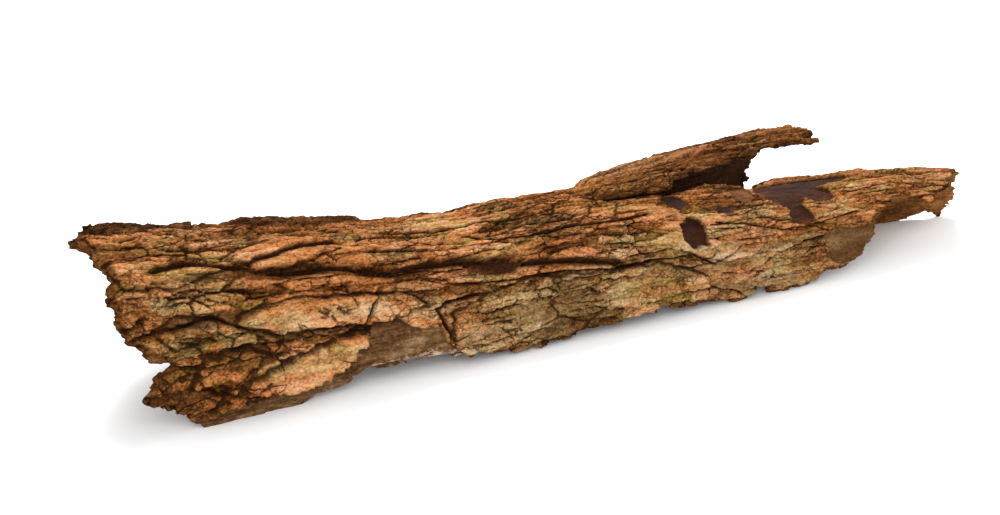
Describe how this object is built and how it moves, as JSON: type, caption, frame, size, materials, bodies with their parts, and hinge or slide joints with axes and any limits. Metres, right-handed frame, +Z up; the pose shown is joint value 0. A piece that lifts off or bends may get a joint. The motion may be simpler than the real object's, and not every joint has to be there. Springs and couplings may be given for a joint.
{
  "type": "piece of tree bark",
  "caption": "Curled piece of rough tree bark, hollow and open underneath, with torn ends and a split-off flap ending in a tongue; rests on its rims.",
  "frame": {"origin": "under the middle of the piece, on the surface it rests on", "axes": "+X along the grain towards the narrow end, +Y towards the split-off flap at the back, +Z up"},
  "size_m": [0.46, 0.1017, 0.072],
  "materials": {
    "bark": "dry, rough, flaky bark with a duller smooth inner side"
  },
  "bodies": {
    "root": {"bark": "bark"}
  },
  "joints": []
}
